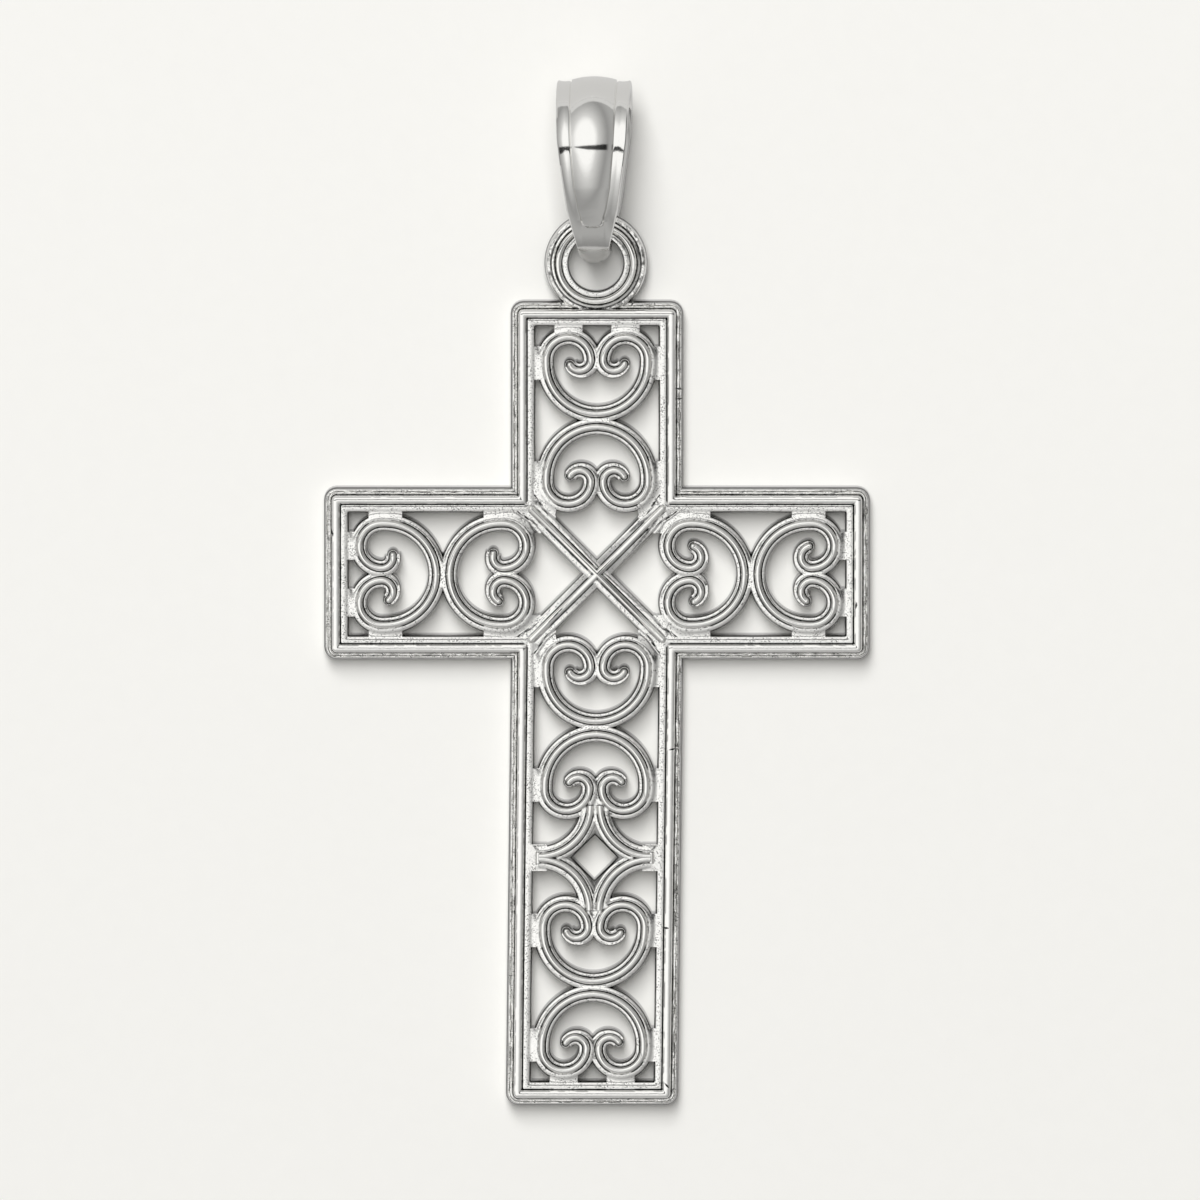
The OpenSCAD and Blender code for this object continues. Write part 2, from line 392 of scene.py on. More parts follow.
def outline(inset):
    """The corners of the cross, drawn in by inset all round, its outer corners rounded."""
    points = []
    half = half_bar - inset
    r = max(CORNER_R - inset, LEAST_R)
    for arm, reach in enumerate(REACHES):
        end = reach - inset
        arm_points = corner(Vector((end - r, r - half)), r, -90)
        arm_points += corner(Vector((end - r, half - r)), r, 0)
        arm_points.append(Vector((half, half)))
        turned = Matrix.Rotation(math.radians(90 * arm), 2)
        points += [turned @ p for p in arm_points]
    return points


def walk(points, counts):
    """The outline cut into the given number of steps along each side."""
    for a, b, count in zip(points, points[1:] + points[:1], counts):
        for i in range(count):
            yield a.lerp(b, i / count)


base_line = outline(0)
counts = [max(1, round((b - a).length / STEP)) for a, b in zip(base_line, base_line[1:] + base_line[:1])]


def roughened(p, z, inset, amount):
    """A point of the rim, lifted or sunk a little by noise."""
    spot = Vector((p.x, p.y, inset * NOISE_SPREAD))
    lift = noise.noise(spot * WAVES_PER_MM) * WAVE_H + noise.noise(spot * BUMPS_PER_MM) * BUMP_H
    return Vector((p.x, p.y, z + lift * amount))


def frame_solid():
    bm = bmesh.new()
    lines = []
    for inset, z, rough in MOULDING:
        lines.append([roughened(p, z, inset, rough) for p in walk(outline(inset), counts)])
    edges = ring_of_edges(bm, lines[0])
    for line, next_line in zip(lines, lines[1:] + lines[:1]):
        edges = grow_to(bm, edges, line, next_line)
    return bm


casting.insert(0, solid(frame_solid(), "frame"))
print("The frame has", len(casting[0].data.polygons), "faces")

# %% [markdown]
# ## Webs between the scrolls and the frame
# Where a scroll meets the frame, the metal between them isn't pierced. Small plain pads fill those
# places, a little lower than the flanges, so that a fine line shows where a flange crosses a pad.

# %% Webs
WEB_Z = 0.99
SIDE_WEB = (0.4, 0.98)
SIDE_WEB_IN = 0.12
END_WEB = (0.82, 0.5)
opening = half_bar - FRAME_W


def pad(width, height, z, x=0, y=0):
    """A plain block that stands on the back plane."""
    bm = bmesh.new()
    shape = Matrix.Translation((x, y, z / 2)) @ Matrix.Diagonal((width, height, z, 1))
    bmesh.ops.create_cube(bm, size=1, matrix=shape)
    return bm


def plate_from(points, z):
    """A flat plate with the given corners, from the back plane up to z."""
    bm = bmesh.new()
    face = bm.faces.new([bm.verts.new((x, y, 0)) for x, y in points])
    made = bmesh.ops.extrude_face_region(bm, geom=[face])["geom"]
    bmesh.ops.translate(bm, vec=(0, 0, z), verts=[g for g in made if isinstance(g, bmesh.types.BMVert)])
    return bm


for number, (arm, distance, outwards, _, _) in enumerate(SCROLLS):
    place = in_arm(arm, distance, outwards)
    for side in (-1, 1):
        web = pad(*SIDE_WEB, WEB_Z, side * (opening - SIDE_WEB_IN), 0)
        casting.append(solid(web, f"side_web_{number}", place))
        if outwards and distance + PITCH > REACHES[arm]:
            web = pad(*END_WEB, WEB_Z, side * LOOP_X, LOOP_UP + LOOP_R + FLANGE_OUT)
            casting.append(solid(web, f"end_web_{number}", place))

# %% [markdown]
# ## The X over the crossing
# Two ridged bars cross in the middle. Each is the same section, pushed along a straight line. Its ridge
# stops before the frame with a round end, and its flanges run into a solid corner. Small pads join it to
# the loops beside it. They are drawn for the corner between the right arm and the upper one, and turned.

# %% Crossing
BAR_HALF = 0.32
RIDGE_REACH = 2.72
BAR_REACH = 2.95
FOOT_LENGTH = 0.25
FOOT_INTO_BAR = 0.01
UNDER_RIDGE = 0.6
CORNER_PAD = [(1.2, 1.66), (1.66, 1.2), (1.7, 1.2), (2.0, 1.46), (2.0, 2.0), (1.46, 2.0), (1.2, 1.7)]
LOOP_PAD = [(1.24, 1.68), (1.5, 1.9), (1.86, 2.39), (1.86, 2.75), (1.55, 2.6), (1.17, 2.0)]


def straight(section, length):
    """A solid bar along X, centred on the crossing, with the given section."""
    bm = bmesh.new()
    edges = ring_of_edges(bm, [(-length, u, z) for u, z in section])
    cap(bm, edges)
    cap(bm, push(bm, edges, (2 * length, 0, 0)))
    return bm


RIDGE_END = [(0, CREST_Z)] + bead(RIDGE_HALF, GROOVE_Z, CREST_Z)[3::-1]
RIDGE_END += [(RIDGE_HALF, UNDER_RIDGE), (0, UNDER_RIDGE)]

for degrees in (45, 135):
    place = spun_about(degrees)
    casting.append(solid(straight(band_section(BAR_HALF, BAR_HALF), RIDGE_REACH), "bar", place))
    for end in (-RIDGE_REACH, RIDGE_REACH):
        reach = math.copysign((RIDGE_REACH + BAR_REACH) / 2 - FOOT_INTO_BAR, end)
        casting.append(solid(pad(FOOT_LENGTH, 2 * BAR_HALF, WEB_Z, reach, 0), "bar_foot", place))
        tip = turned_solid(RIDGE_END, ROUND_STEPS, closed_on_axis=True)
        casting.append(solid(tip, "ridge_end", place @ Matrix.Translation((end, 0, 0))))
for quarter in range(4):
    casting.append(solid(plate_from(CORNER_PAD, WEB_Z), "corner_pad", spun_about(90 * quarter)))
    for flip in (Matrix.Identity(4), spun_about(90) @ Matrix.Diagonal((1, -1, 1, 1))):
        casting.append(solid(plate_from(LOOP_PAD, WEB_Z), "loop_pad", spun_about(90 * quarter) @ flip))

# %% [markdown]
# ## The four-pointed motif
# In the lower upright four arcs bend away from a small diamond hole. Each arc is the band section spun
# a quarter turn about a centre out in its own quadrant, and the other three are mirrored from it.

# %% Motif
ARC_CENTRE = Vector((1.64, 1.54, 0))
ARC_R = 1.5
ARC_INSIDE = 0.31
ARC_OUTSIDE = 0.27
ARC_STEPS = 22
DIAMOND = 0.66
SURROUND = 1.2
MOTIF_WEB = (0.5, 0.78)
MOTIF_WEB_IN = 0.15
MOTIF_END = (0.66, 0.36)
MOTIF_END_UP = 1.5
CAP_HALF = 0.08
CAP_TOP = 1.1
CAP_LENGTH = 0.16
CAP_X = 1.66


def motif_arc():
    bm = bmesh.new()
    section = band_section(ARC_OUTSIDE, ARC_INSIDE)
    edges = ring_of_edges(bm, [ARC_CENTRE + Vector((-(ARC_R + u), 0, z)) for u, z in section])
    cap(bm, edges)
    cap(bm, turn(bm, edges, ARC_CENTRE, 90, ARC_STEPS))
    return bm


def diamond_surround():
    """A square ring on its point, between the diamond hole and the arcs."""
    inner = [(DIAMOND, 0), (DIAMOND, 0.87), (DIAMOND + 0.02, 0.93), (DIAMOND + 0.07, 0.96)]
    return turned_solid(inner + [(SURROUND, 0.97), (SURROUND, 0)], 4)


motif_place = Matrix.Translation((0, motif_y, 0))
for sx in (-1, 1):
    for sy in (-1, 1):
        casting.append(solid(motif_arc(), "motif_arc", motif_place @ Matrix.Diagonal((sx, sy, 1, 1))))
casting.append(solid(diamond_surround(), "diamond_surround", motif_place))
for side in (-1, 1):
    web = pad(*MOTIF_WEB, WEB_Z, side * (opening - MOTIF_WEB_IN), 0)
    casting.append(solid(web, "motif_web", motif_place))
    casting.append(solid(pad(*MOTIF_END, WEB_Z, 0, side * MOTIF_END_UP), "motif_end", motif_place))
    cap_section = bead(CAP_HALF, GROOVE_Z, CAP_TOP) + [(-CAP_HALF, UNDER_RIDGE), (CAP_HALF, UNDER_RIDGE)]
    place = motif_place @ Matrix.Translation((side * CAP_X, 0, 0)) @ spun_about(90)
    casting.append(solid(straight(cap_section, CAP_LENGTH), "motif_cap", place))

# %% [markdown]
# ## The hanging ring
# The ring has the frame's moulding, wrapped round a hole. Its underside is cut back, so that the bail
# can pass beneath it while the charm lies flat. It is one profile, spun all the way round.

# %% Ring
RING_X = -0.03
RING_Y = 9.12
RING_BACK = 0.6

# Radius and height, from the hole outwards
RING_PROFILE = [
    (0.8, RING_BACK), (0.8, 0.84), (0.806, 0.9), (0.824, 0.955), (0.845, 0.987), (0.96, 0.995),
    (0.985, 0.985), (0.995, 0.94), (1.008, 0.94), (1.015, 1.02), (1.035, 1.09), (1.07, 1.125),
    (1.11, 1.13), (1.15, 1.12), (1.18, 1.06), (1.192, 0.97), (1.2, 0.93), (1.212, 0.93),
    (1.22, 0.98), (1.25, 1.0), (1.29, 0.99), (1.31, 0.9), (1.318, 0.81), (1.33, 0.81),
    (1.345, 0.86), (1.42, 0.865), (1.45, 0.84), (1.475, 0.79), (1.497, 0.73), (1.51, 0.65),
    (1.51, RING_BACK),
]
RING_STEPS = 128
RIM_FROM = 1.3
RING_WAVES = ((6, 0.012), (15, 0.014))


def hanging_ring():
    bm = turned_solid(RING_PROFILE, RING_STEPS)
    for v in bm.verts:
        r = math.hypot(v.co.x, v.co.y)
        if r > RIM_FROM and v.co.z > RING_BACK + OFF_THE_BACK:
            v.co.z += sum(noise.noise(v.co * often) * height for often, height in RING_WAVES)
    return bm


casting.append(solid(hanging_ring(), "ring", Matrix.Translation((RING_X, RING_Y, 0))))

# %% [markdown]
# ## Creases and nicks
# Two thin creases run beside each end of the X, where the carver's graver slipped past it, and the rim
# has a few small nicks. Each is a narrow kite, cut out of the finished union down to a certain height.

# %% Cuts
CUT_HEIGHT = 1
CREASE = [(2.2, 0.215), (2.42, 0.265), (2.82, 0.315), (2.5, 0.205)]
CREASE_FLOOR = 0.84

# Place of each nick and its direction in degrees
NICKS = [
    (2.42, 5.43, 80), (2.42, 5.14, 95), (2.25, -5.14, 100), (2.12, -10.4, 85), (-2.6, -10.1, 95),
    (2.2, -15.05, 40), (-1.06, 7.96, 25), (1.05, 7.96, 155), (-7.75, 1.2, 10), (7.6, -0.9, 170),
]
NICK = [(0, -0.1), (0.035, 0), (0, 0.13), (-0.03, 0.01)]
NICK_FLOOR = 0.7


def cutter(points, floor_z, place):
    """A plate to cut with, whose underside is the cut's floor."""
    cut = plate_from(points, CUT_HEIGHT)
    bmesh.ops.translate(cut, vec=(0, 0, floor_z), verts=cut.verts)
    return solid(cut, "cut", place)


cuts = []
for quarter in range(4):
    for side in (1, -1):
        flip = Matrix.Diagonal((1, side, 1, 1))
        cuts.append(cutter(CREASE, CREASE_FLOOR, spun_about(90 * quarter + 45) @ flip))
for x, y, degrees in NICKS:
    cuts.append(cutter(NICK, NICK_FLOOR, Matrix.Translation((x, y, 0)) @ spun_about(degrees)))
print(len(cuts), "creases and nicks")

# %% [markdown]
# ## Joining the casting
# The pieces above run into each other, as the parts of a wax model do before it is cast. Boolean unions
# melt them to one skin with no walls inside, which is what the metal is. Blender's manifold solver is
# quick, but it likes no two faces in the same plane, so each piece was made a hair taller than the last.
# The pieces are united two by two, which is much faster than one after the other. On the real casting the
# lower upright leans a little to the left, which a small shear gives.

# %% Union
SHARP_ANGLE = math.radians(40)
GROUND = 0.02
UPRIGHT_LEAN = 0.0115
FLAT_FACES_WIN = 80


def joined(base, other, operation):
    """One object made of two, by a Boolean modifier whose result is kept as a mesh."""
    joint = base.modifiers.new("joint", "BOOLEAN")
    joint.operation = operation
    joint.solver = "MANIFOLD"
    joint.object = other
    graph = bpy.context.evaluated_depsgraph_get()
    mesh = bpy.data.meshes.new_from_object(base.evaluated_get(graph), depsgraph=graph)
    base.modifiers.clear()
    base.data = mesh
    bpy.data.objects.remove(other)
    return base


def union(pieces):
    """Unites the pieces, first each half of the list and then the two halves."""
    if len(pieces) == 1:
        return pieces[0]
    middle = len(pieces) // 2
    return joined(union(pieces[:middle]), union(pieces[middle:]), "UNION")


def fused(pieces, taken_out):
    """The union of overlapping solids as one bmesh, its underside flat and its lower upright leaning."""
    whole = joined(union(pieces), union(taken_out), "DIFFERENCE")
    bm = bmesh.new()
    bm.from_mesh(whole.data)
    bpy.data.objects.remove(whole)
    for v in bm.verts:
        if v.co.z < GROUND:
            v.co.z = 0
        if v.co.y < -half_bar:
            v.co.x += (v.co.y + half_bar) * UPRIGHT_LEAN
    bmesh.ops.triangulate(bm, faces=[f for f in bm.faces if len(f.verts) > 4])
    return bm


def finished(bm, name):
    """A piece in metres, smooth where it is round and sharp at its corners."""
    bmesh.ops.scale(bm, vec=(MM, MM, MM), verts=bm.verts)
    open_edges = sum(1 for e in bm.edges if e.is_boundary)
    mesh = bpy.data.meshes.new(name)
    bm.to_mesh(mesh)
    bm.free()
    mesh.shade_smooth()
    mesh.set_sharp_from_angle(angle=SHARP_ANGLE)
    made = bpy.data.objects.new(name, mesh)
    bpy.context.collection.objects.link(made)
    weighted = made.modifiers.new("flat_faces_stay_flat", "WEIGHTED_NORMAL")
    weighted.keep_sharp = True
    weighted.weight = FLAT_FACES_WIN
    triangles = sum(len(face.vertices) - 2 for face in mesh.polygons)
    print(name, "has", triangles, "triangles and", open_edges, "open edges")
    return made


cross = finished(fused(casting, cuts), "cross_casting")

# %% [markdown]
# ## The bail
# The bail is a strip bent to a closed loop. Seen from the side it is four arcs and two straight leaves, so
# its section is spun about four centres and pushed along until it meets itself. It is spun at its full
# width, and each point is then moved in towards the middle by how narrow the real strip is there. The tip
# in the ring is rounded from side to side, which gives the bail its round end when seen from above.

# %% The bail's section
BAIL_T = 0.38
BAIL_HALF = 1.09
PANEL_HALF = 0.676
PANEL_H = 0.185
PANEL_STEP = 0.025
DOME_PART = 0.985
flange_points = [
    (1.09, -0.07), (1.08, -0.025), (1.045, 0), (0.97, -0.022), (0.86, -0.03), (0.76, -0.02), (0.715, -0.03),
]
groove_points = [(0.692, -0.05), (PANEL_HALF, -0.045), (PANEL_HALF - 0.004, -0.005)]
inner_points = [(0.5, -BAIL_T), (1.03, -BAIL_T), (1.075, -BAIL_T + 0.02), (1.09, -BAIL_T + 0.06)]


def dome_points(steps=20):
    """The panel's rounded top, from right to left: a low step, then a shallow arch."""
    places = [1 - 2 * i / steps for i in range(steps + 1)]
    arch = PANEL_H - PANEL_STEP
    return [(PANEL_HALF * DOME_PART * x, PANEL_STEP + arch * (1 - x * x)) for x in places]


right_side = flange_points + groove_points
left_side = [(-x, h) for x, h in reversed(right_side)]
inner_left = [(-x, h) for x, h in reversed(inner_points)]
BAIL_SECTION = right_side + dome_points() + left_side + inner_left + [(0, -BAIL_T)] + inner_points

# %% The bail's side view and widths
CROWN_Y = 12.56
CROWN_R = 2.0
FRONT_R = 4.1
FRONT_SLOPE = 50
NARROW_R = 0.85
TIP_Y = RING_Y + 0.08
BAIL_LEN = 5.36

slope = math.radians(FRONT_SLOPE)
front_z = 2 * CROWN_R - FRONT_R
nose_r = (CROWN_Y - TIP_Y - FRONT_R * math.sin(slope)) / (1 - math.sin(slope))
nose_y = TIP_Y + nose_r
nose_z = front_z + (FRONT_R - nose_r) * math.cos(slope)
narrow_y = TIP_Y + NARROW_R

PANEL_END = 10.27
PANEL_ROUND = 0.26
PANEL_MOST = 0.7

# How wide the strip and its panel are, as a part of the widest, at each part of the bail's length
HALF_WIDTHS = [
    (0.086, 0.42), (0.13, 0.47), (0.2, 0.56), (0.31, 0.69), (0.54, 0.84), (0.7, 0.94), (0.9, 0.98), (1.1, 1),
]
PANEL_WIDTHS = [(0.27, 0.275), (0.31, 0.34), (0.43, 0.45), (0.65, 0.54), (0.87, 0.58), (1.1, 0.62)]


def from_table(rows, part):
    """A half width in mm from a table of parts of the bail's length."""
    for (p0, w0), (p1, w1) in zip(rows, rows[1:]):
        if part < p1:
            t = max(0, (part - p0) / (p1 - p0))
            return (w0 + (w1 - w0) * t) * BAIL_HALF
    return rows[-1][1] * BAIL_HALF


def strip_half(y):
    """Half of the strip's width at a place along the bail."""
    return from_table(HALF_WIDTHS, (y - TIP_Y) / BAIL_LEN)


def panel_half(y):
    """Half of the panel's width there; it always leaves some flange on both sides."""
    return min(from_table(PANEL_WIDTHS, (y - TIP_Y) / BAIL_LEN), strip_half(y) * PANEL_MOST)


# %% Spin the bail
BAIL_LEAN = 2.3
BAIL_EDGE = 1.05
GROOVE_EDGE = 0.72
TIP_DEPTH = 0.34
TIP_DEPTH_INSIDE = 0.15
LEAF_STEPS = 12

# Heights in mm between which the panel and its arch rise on the crown, and the arch's least part there
CROWN_PANEL = (0.9, 1.4)
CROWN_ARCH = (1.8, 3.4)
CROWN_ARCH_LEAST = 0.6

# Along the front, in mm from the panel's end: where the hollows and the arch come up, and how blurred it is
FRONT_HOLLOWS = (-0.6, 0.8)
FRONT_ARCH = (0, 1.3)
FRONT_ARCH_LEAST = 0.25
PANEL_BLUR = 0.03

# Heights on the back, and distances from the tip on the front, between which the strip turns round
BACK_ROUNDS = (0.1, 0.8)
FRONT_ROUNDS = (0.5, 0.02)
FRONT_FROM_Z = 1


def soft_step(value, none_at, full_at):
    """0 at the first value, 1 at the second, and smooth between them."""
    t = min(1, max(0, (value - none_at) / (full_at - none_at)))
    return t * t * (3 - 2 * t)


def crown_fade(place):
    """The panel starts a little way up the back of the crown, and rises towards the front."""
    start = soft_step(place.z, *CROWN_PANEL)
    arch = CROWN_ARCH_LEAST + (1 - CROWN_ARCH_LEAST) * soft_step(place.z, *CROWN_ARCH)
    return start, start, start * arch


def front_fade(place):
    """The panel sinks into the strip and ends in a round end, well before the bail's own tip."""
    half = panel_half(place.y)
    across = max(0, abs(place.x) * half / PANEL_HALF - (half - PANEL_ROUND))
    along = max(0, PANEL_END + PANEL_ROUND - place.y)
    inside = PANEL_ROUND - math.hypot(across, along)
    on_panel = soft_step(inside, -PANEL_BLUR, PANEL_BLUR) if along > 0 else 1
    arch = FRONT_ARCH_LEAST + (1 - FRONT_ARCH_LEAST) * soft_step(place.y - PANEL_END, *FRONT_ARCH)
    return soft_step(place.y - PANEL_END, *FRONT_HOLLOWS), on_panel, on_panel * arch


def no_panel(place):
    """For stretches that are plain all over."""
    return 0, 0, 0


def settle(verts, relief, outward, fade):
    """Keeps the given parts of the flanges' hollows, of the panel's step and of its arch."""
    for v in verts:
        hollow_part, step_part, arch_part = fade(v.co)
        height = v[relief]
        if abs(v.co.x) < GROOVE_EDGE:
            hollow_part = step_part
        hollow = min(height, 0)
        step = min(max(height, 0), PANEL_STEP)
        arch = max(height - PANEL_STEP, 0) * panel_half(v.co.y) / PANEL_HALF
        kept = hollow * hollow_part + step * step_part + arch * arch_part
        v.co -= outward(v.co) * (height - kept)


def rounded(verts, outside, outward, how_far):
    """Rounds the strip from side to side, as it is where it bends into the ring."""
    for v in verts:
        across = min(1, abs(v.co.x) / strip_half(v.co.y))
        depth = TIP_DEPTH if v[outside] else TIP_DEPTH_INSIDE
        v.co -= outward(v.co) * depth * how_far(v.co) * (1 - math.sqrt(1 - across * across))


def narrowed(bm):
    """Moves each point in towards the middle, on the panel and beside it by their own parts."""
    for v in bm.verts:
        whole = strip_half(v.co.y)
        panel = panel_half(v.co.y)
        x = abs(v.co.x)
        if x <= PANEL_HALF:
            x = x * panel / PANEL_HALF
        else:
            x = panel + (x - PANEL_HALF) * (whole - panel) / (BAIL_HALF - PANEL_HALF)
        v.co.x = math.copysign(x, v.co.x)


def tipness(place):
    """How round the strip is: not on the front and the back, and fully where it stands upright."""
    if place.z > FRONT_FROM_Z:
        return soft_step(place.y - TIP_Y, *FRONT_ROUNDS)
    return soft_step(place.z, *BACK_ROUNDS)


def away_from(y, z):
    """The outward direction of an arc with this centre, as a function of the place."""
    return lambda place: Vector((0, place.y - y, place.z - z)).normalized()


def bail_solid():
    """The strip is spun right round its loop first, then each stretch of it gets its own relief."""
    bm = bmesh.new()
    relief = bm.verts.layers.float.new("relief")
    outside = bm.verts.layers.int.new("outside")
    edges = ring_of_edges(bm, [(x, CROWN_Y, -h) for x, h in BAIL_SECTION])
    for v, (x, h) in zip(bm.verts, BAIL_SECTION):
        v[relief] = h if h > -BAIL_T / 2 and abs(x) < BAIL_EDGE else 0
        v[outside] = h > -BAIL_T / 2
    stretches = []
    placed = set()

    def end_stretch(outward, fade):
        stretches.append(([v for v in bm.verts if v not in placed], outward, fade))
        placed.update(bm.verts)

    arcs = [
        ((CROWN_Y, CROWN_R), 180, 72, crown_fade),
        ((CROWN_Y, front_z), FRONT_SLOPE, 100, front_fade),
        ((nose_y, nose_z), 90 - FRONT_SLOPE, 30, no_panel),
    ]
    for centre, degrees, steps, fade in arcs:
        edges = turn(bm, edges, (0, *centre), degrees, steps, axis=(1, 0, 0))
        end_stretch(away_from(*centre), fade)
    edges = push(bm, edges, (0, 0, NARROW_R - nose_z))
    end_stretch(lambda place: Vector((0, -1, 0)), no_panel)
    edges = turn(bm, edges, (0, narrow_y, NARROW_R), 90, 24, axis=(1, 0, 0))
    end_stretch(away_from(narrow_y, NARROW_R), no_panel)
    for _ in range(LEAF_STEPS):
        edges = push(bm, edges, (0, (CROWN_Y - narrow_y) / LEAF_STEPS, 0))
    end_stretch(lambda place: Vector((0, 0, -1)), no_panel)
    tidy(bm)
    for verts, outward, fade in stretches:
        settle([v for v in verts if v.is_valid], relief, outward, fade)
    narrowed(bm)
    for verts, outward, _ in stretches[1:5]:
        rounded([v for v in verts if v.is_valid], outside, outward, tipness)
    lean = math.radians(BAIL_LEAN)
    place = Matrix.Translation((0, 0, math.sin(lean) * BAIL_HALF)) @ Matrix.Rotation(-lean, 4, "Y")
    bmesh.ops.transform(bm, matrix=place, verts=bm.verts)
    return bm


bail = finished(bail_solid(), "bail_strip")

# %% [markdown]
# ## The metal
# Both pieces are white gold. The casting was never polished in its hollows: its flat fields are finely
# pitted, and only the tops of its ridges are smooth and bright. Its creases and rounded edges are painted
# dark, which is painted shade: the shade that falls into the creases, and the dark surroundings that the
# edges mirror. The bail was polished all over. Fine pits are a noise texture in millimetres, cut off high
# so that only its peaks are left. It is a node group, because both metals use it, each with its own
# values. The relief is flat, so the masks for tops and edges simply read a point's height.

# %% Shader helpers
def new_node(tree, kind, x=0, y=0, **values):
    node = tree.nodes.new(kind)
    node.location = (x, y)
    for key, value in values.items():
        setattr(node, key, value)
    return node


def calc(tree, operation, a, b=0, c=0, clamp=False):
    """A Math node; each input is a number or another node's output."""
    node = new_node(tree, "ShaderNodeMath", operation=operation, use_clamp=clamp)
    for socket, value in zip(node.inputs, (a, b, c)):
        if isinstance(value, bpy.types.NodeSocket):
            tree.links.new(value, socket)
        else:
            socket.default_value = value
    return node.outputs[0]


def remap(tree, value, low, high, to_low=0, to_high=1, kind="SMOOTHSTEP"):
    node = new_node(tree, "ShaderNodeMapRange", interpolation_type=kind)
    tree.links.new(value, node.inputs["Value"])
    for name, number in (("From Min", low), ("From Max", high), ("To Min", to_low), ("To Max", to_high)):
        node.inputs[name].default_value = number
    return node.outputs["Result"]


def fine_noise(tree, vector, size_mm, detail=2):
    node = new_node(tree, "ShaderNodeTexNoise")
    tree.links.new(vector, node.inputs["Vector"])
    node.inputs["Scale"].default_value = 1 / (size_mm * MM)
    node.inputs["Detail"].default_value = detail
    return node.outputs["Fac"]


# %% The group of cast pits
PIT_MM = 0.034
PATCH_MM = 0.35
WAVE_MM = 0.16
PATCHINESS = 0.35
PIT_SHARPNESS = 8


def cast_skin_group():
    """Fine pits that gather in patches, and soft waves, both from the place on the object."""
    group = bpy.data.node_groups.new("cast_skin", "ShaderNodeTree")
    face = group.interface
    face.new_socket("Vector", in_out="INPUT", socket_type="NodeSocketVector")
    face.new_socket("Pit cut", in_out="INPUT", socket_type="NodeSocketFloat")
    face.new_socket("Pits", in_out="OUTPUT", socket_type="NodeSocketFloat")
    face.new_socket("Waves", in_out="OUTPUT", socket_type="NodeSocketFloat")
    put_in = new_node(group, "NodeGroupInput")
    put_out = new_node(group, "NodeGroupOutput")
    grain = fine_noise(group, put_in.outputs["Vector"], PIT_MM, 1)
    patches = fine_noise(group, put_in.outputs["Vector"], PATCH_MM, 2)
    waves = fine_noise(group, put_in.outputs["Vector"], WAVE_MM, 2)
    mixed = calc(group, "MULTIPLY_ADD", patches, PATCHINESS, grain)
    over = calc(group, "SUBTRACT", mixed, put_in.outputs["Pit cut"])
    pits = calc(group, "MULTIPLY", over, PIT_SHARPNESS, clamp=True)
    group.links.new(pits, put_out.inputs["Pits"])
    group.links.new(waves, put_out.inputs["Waves"])
    return group


cast_skin = cast_skin_group()


# %% Cast white gold
def metal(name):
    """A metal material, its node tree and its shader."""
    material = bpy.data.materials.new(name)
    material.use_nodes = True
    tree = material.node_tree
    shader = tree.nodes["Principled BSDF"]
    shader.inputs["Metallic"].default_value = 1
    return material, tree, shader


def skin(tree, cut):
    """The shared pits, in this material; gives its node and the object's own coordinates."""
    place = new_node(tree, "ShaderNodeTexCoord", -1400, 0)
    node = new_node(tree, "ShaderNodeGroup", -1100, 0, node_tree=cast_skin)
    tree.links.new(place.outputs["Object"], node.inputs["Vector"])
    node.inputs["Pit cut"].default_value = cut
    return node, place.outputs["Object"]


def mix_colours(tree, factor, a, b):
    node = new_node(tree, "ShaderNodeMix", data_type="RGBA")
    tree.links.new(factor, node.inputs[0])
    for socket, value in ((node.inputs[6], a), (node.inputs[7], b)):
        if isinstance(value, bpy.types.NodeSocket):
            tree.links.new(value, socket)
        else:
            socket.default_value = (*value, 1)
    return node.outputs[2]


def add_bump(tree, shader, relief, strength, depth_mm):
    node = new_node(tree, "ShaderNodeBump")
    node.inputs["Strength"].default_value = strength
    node.inputs["Distance"].default_value = depth_mm * MM
    tree.links.new(relief, node.inputs["Height"])
    tree.links.new(node.outputs["Normal"], shader.inputs["Normal"])


WHITE_GOLD = (0.98, 0.975, 0.955)
# The dark colour that is mixed in as painted shade in the creases and along the rounded edges, and also into
# the fine pits
PAINTED_SHADE_AND_PIT_DARK = (0.05, 0.05, 0.048)
CREASE_MM = 0.08
PIT_CUT = 0.775
PIT_DARK = 0.7
PIT_DEPTH = 0.8
UNEVEN = 0.6
# How far the metal below the relief is lifted out of the painted crease shade
LOW_METAL_SHADE_LIFT = 0.3
CREASES_DARK_TO = (0.4, 0.8)
CAST_ROUGH = 0.06
CAST_ROUGH_WAVES = 0.16
TOPS_SMOOTHER = 0.08
CAST_BUMP = 0.24
CAST_BUMP_MM = 0.012

# Heights in millimetres between which each mask rises or falls
POLISHED_TOPS = (1.0, 1.08)
HIGH_METAL = (0.78, 0.9)
PITTED = (0.72, 0.76)
# Bands of height on the rounded edges of the flanges and of the rim, painted darker as painted shade for the
# dark surroundings that these steep edges mirror
FLANGE_EDGE = (0.87, 0.9, 0.965, 0.985)
RIM_EDGE = (0.5, 0.62, 0.75, 0.785)
FLANGE_EDGE_DARK = 0.88
RIM_EDGE_DARK = 0.85


def between(tree, height, low_mm, high_mm):
    """A mask that rises from 0 to 1 between two heights."""
    return remap(tree, height, low_mm * MM, high_mm * MM)


def band(tree, height, low_mm, full_mm, still_full_mm, high_mm):
    """A mask that is 1 in a band of heights, and falls off to 0 below it and above it."""
    rising = between(tree, height, low_mm, full_mm)
    falling = between(tree, height, high_mm, still_full_mm)
    return calc(tree, "MULTIPLY", rising, falling)


